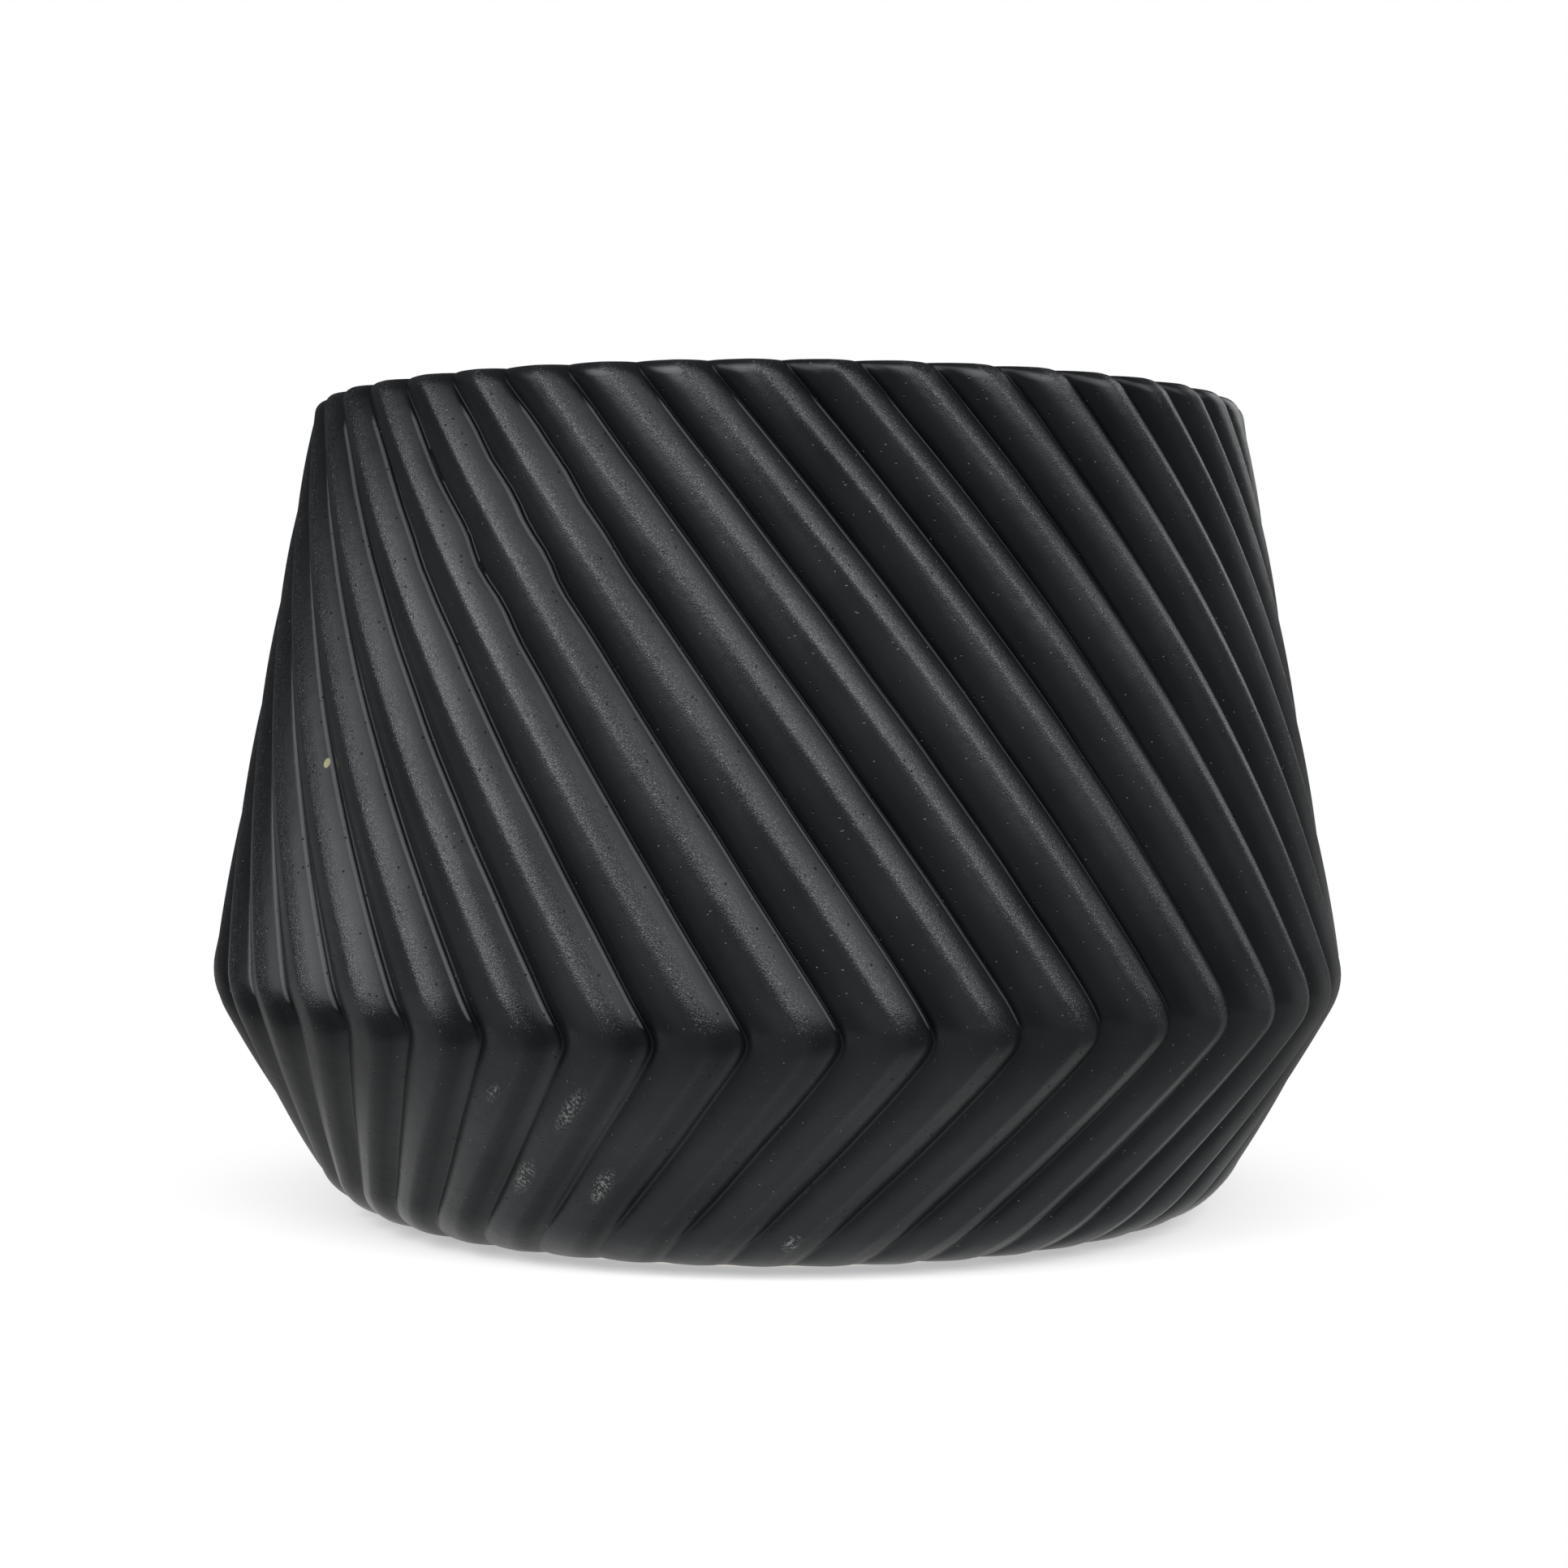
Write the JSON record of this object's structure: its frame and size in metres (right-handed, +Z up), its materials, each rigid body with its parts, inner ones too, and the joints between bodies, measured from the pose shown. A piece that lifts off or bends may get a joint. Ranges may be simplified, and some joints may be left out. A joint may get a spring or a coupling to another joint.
{
  "type": "empty candle jar",
  "caption": "Open ceramic candle vessel in matte black glaze: tapered mouth, low wide belly and chevron ribs all round, standing on a bare foot ring.",
  "frame": {"origin": "centre of the foot ring, on the surface that the jar stands on", "axes": "+Z up along the jar's axis, through the middle of the mouth; -Y is the side that the picture shows"},
  "size_m": [0.1072, 0.1072, 0.0762],
  "materials": {
    "fired_clay": "bare stoneware, dry and slightly gritty",
    "matte_black_glaze": "satin-matte black glaze with pinholes and runs",
    "liner_glaze": "satin-matte black glaze, smooth",
    "base_glaze": "satin-matte black glaze, slightly uneven"
  },
  "bodies": {
    "root": {"clay_body": "fired_clay", "outer_glaze": "matte_black_glaze", "liner_glaze": "liner_glaze", "base_glaze": "base_glaze"}
  },
  "joints": []
}
